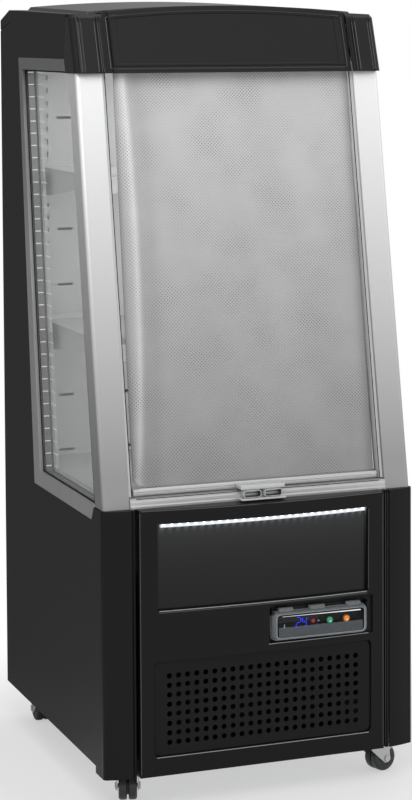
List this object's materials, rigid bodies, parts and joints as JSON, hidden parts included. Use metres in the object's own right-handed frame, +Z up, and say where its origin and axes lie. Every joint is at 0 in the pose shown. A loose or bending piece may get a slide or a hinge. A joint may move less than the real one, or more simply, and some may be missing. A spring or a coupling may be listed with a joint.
{
  "type": "open display fridge",
  "caption": "Open-front multideck display fridge, black and grey, with a lowered night blind, glazed side windows, lit front field, perforated lower grille and four swivel castors",
  "frame": {"origin": "on the floor under the middle of the bounding box", "axes": "+X to the right of a person facing the front, +Y to the back of the fridge, +Z up; the open front faces -Y"},
  "size_m": [0.6, 0.687, 1.4469],
  "materials": {
    "side_paint": "satin",
    "dark_plastic": "satin",
    "dark_sheet": "satin",
    "black_plastic": "satin",
    "gloss_black": "gloss",
    "bright_aluminium": "satin",
    "grey_aluminium": "satin",
    "spacer_aluminium": "satin",
    "fin_aluminium": "matte",
    "galvanised_steel": "satin",
    "zinc_steel": "satin",
    "white_paint": "satin",
    "white_liner": "matte",
    "white_plastic": "gloss",
    "clear_glass": "polished",
    "clear_plastic": "gloss",
    "light_lens": "gloss",
    "display_gloss": "polished",
    "green_lens": "gloss",
    "amber_lens": "gloss",
    "blind_cloth": "matte",
    "black_paint": "gloss",
    "castor_grey": "satin",
    "castor_rubber": "matte",
    "grey_plastic": "satin"
  },
  "bodies": {
    "cabinet": {"base_tray": "galvanised_steel", "side_panel_left": "side_paint", "side_panel_right": "side_paint", "rear_panel": "galvanised_steel", "roof_panel": "dark_plastic", "insulated_liner": "white_liner", "duct_panel": "white_paint", "deck_plate": "white_paint", "return_grille": "white_paint", "air_outlet": "white_plastic", "window_frame_left": "grey_aluminium", "window_frame_right": "grey_aluminium", "side_glass_left": "clear_glass", "side_glass_right": "clear_glass", "glazing_spacers": "spacer_aluminium", "front_post_left": "bright_aluminium", "front_post_right": "bright_aluminium", "lower_corner_left": "dark_plastic", "lower_corner_right": "dark_plastic", "canopy_cap_left": "dark_plastic", "canopy_cap_right": "dark_plastic", "canopy_fascia": "dark_plastic", "sill_profile": "bright_aluminium", "front_panel": "dark_plastic", "promo_panel": "gloss_black", "led_strip": "light_lens", "grille_panel": "dark_sheet", "control_housing": "black_plastic", "temperature_display": "display_gloss", "shelf_uprights": "white_paint", "shelf_1": "white_paint", "shelf_2": "white_paint", "price_rails": "white_plastic", "blind_brackets": "galvanised_steel", "blind_fabric": "blind_cloth", "evaporator_coil": "fin_aluminium", "evaporator_fan_frame": "black_plastic", "compressor": "black_paint", "condenser": "fin_aluminium", "condenser_fan_shroud": "galvanised_steel", "cable_gland": "black_plastic", "castor_plates": "zinc_steel"},
    "fork_front_left": {"castor_fork_front_left": "castor_grey"},
    "wheel_front_left": {"castor_wheel_front_left": "castor_rubber"},
    "brake_front_left": {"castor_brake_front_left": "black_plastic"},
    "fork_front_right": {"castor_fork_front_right": "castor_grey"},
    "wheel_front_right": {"castor_wheel_front_right": "castor_rubber"},
    "brake_front_right": {"castor_brake_front_right": "black_plastic"},
    "fork_rear_left": {"castor_fork_rear_left": "castor_grey"},
    "wheel_rear_left": {"castor_wheel_rear_left": "castor_rubber"},
    "fork_rear_right": {"castor_fork_rear_right": "castor_grey"},
    "wheel_rear_right": {"castor_wheel_rear_right": "castor_rubber"},
    "cover": {"control_cover": "clear_plastic"},
    "green_switch": {"green_button": "green_lens"},
    "orange_switch": {"orange_button": "amber_lens"},
    "blind": {"blind_bar": "grey_aluminium", "blind_handle": "grey_plastic"},
    "roller": {"blind_roller": "grey_aluminium"},
    "evaporator_rotor": {"evaporator_fan": "black_plastic"},
    "condenser_rotor": {"condenser_fan": "fin_aluminium"}
  },
  "joints": [
    {"name": "swivel_front_left", "type": "hinge", "parent": "cabinet", "child": "fork_front_left", "pos_m": [-0.24, -0.262, 0.058], "axis": [0, 0, 1], "continuous": true},
    {"name": "roll_front_left", "type": "hinge", "parent": "fork_front_left", "child": "wheel_front_left", "pos_m": [-0.23399, -0.24293, 0.025], "axis": [-0.9537, 0.3007, 0], "continuous": true},
    {"name": "press_front_left", "type": "hinge", "parent": "fork_front_left", "child": "brake_front_left", "pos_m": [-0.22887, -0.22671, 0.049], "axis": [-0.9537, 0.3007, 0], "range_deg": [0, 12]},
    {"name": "swivel_front_right", "type": "hinge", "parent": "cabinet", "child": "fork_front_right", "pos_m": [0.24, -0.262, 0.058], "axis": [0, 0, 1], "continuous": true},
    {"name": "roll_front_right", "type": "hinge", "parent": "fork_front_right", "child": "wheel_front_right", "pos_m": [0.25913, -0.25615, 0.025], "axis": [-0.2924, 0.9563, 0], "continuous": true},
    {"name": "press_front_right", "type": "hinge", "parent": "fork_front_right", "child": "brake_front_right", "pos_m": [0.27538, -0.25118, 0.049], "axis": [-0.2924, 0.9563, 0], "range_deg": [0, 12]},
    {"name": "swivel_rear_left", "type": "hinge", "parent": "cabinet", "child": "fork_rear_left", "pos_m": [-0.24, 0.279, 0.058], "axis": [0, 0, 1], "continuous": true},
    {"name": "roll_rear_left", "type": "hinge", "parent": "fork_rear_left", "child": "wheel_rear_left", "pos_m": [-0.24, 0.299, 0.025], "axis": [-1, 0, 0], "continuous": true},
    {"name": "swivel_rear_right", "type": "hinge", "parent": "cabinet", "child": "fork_rear_right", "pos_m": [0.24, 0.279, 0.058], "axis": [0, 0, 1], "continuous": true},
    {"name": "roll_rear_right", "type": "hinge", "parent": "fork_rear_right", "child": "wheel_rear_right", "pos_m": [0.24, 0.299, 0.025], "axis": [-1, 0, 0], "continuous": true},
    {"name": "lift_cover", "type": "hinge", "parent": "cabinet", "child": "cover", "pos_m": [0.105, -0.3355, 0.341], "axis": [-1, 0, 0], "range_deg": [0, 95]},
    {"name": "push_green", "type": "slide", "parent": "cabinet", "child": "green_switch", "axis": [0, 1, 0], "range_m": [0, 0.002], "stiffness_N_per_m": 600},
    {"name": "push_orange", "type": "slide", "parent": "cabinet", "child": "orange_switch", "axis": [0, 1, 0], "range_m": [0, 0.002], "stiffness_N_per_m": 600},
    {"name": "blind_slide", "type": "slide", "parent": "cabinet", "child": "blind", "axis": [0, 0.1865, 0.9825], "range_m": [0, 0.7], "deforming": ["blind_fabric"]},
    {"name": "roller_turn", "type": "hinge", "parent": "cabinet", "child": "roller", "pos_m": [0, -0.1207, 1.36888], "axis": [1, 0, 0], "range_deg": [0, 2520]},
    {"name": "evaporator_fan_turn", "type": "hinge", "parent": "cabinet", "child": "evaporator_rotor", "pos_m": [0, 0.1235, 0.498], "axis": [0, 1, 0], "continuous": true},
    {"name": "condenser_fan_turn", "type": "hinge", "parent": "cabinet", "child": "condenser_rotor", "pos_m": [0, -0.2265, 0.1705], "axis": [0, 1, 0], "continuous": true}
  ],
  "couplings": [
    {"joint": "roller_turn", "follows": "blind_slide", "rad_per_m": 60.976}
  ]
}
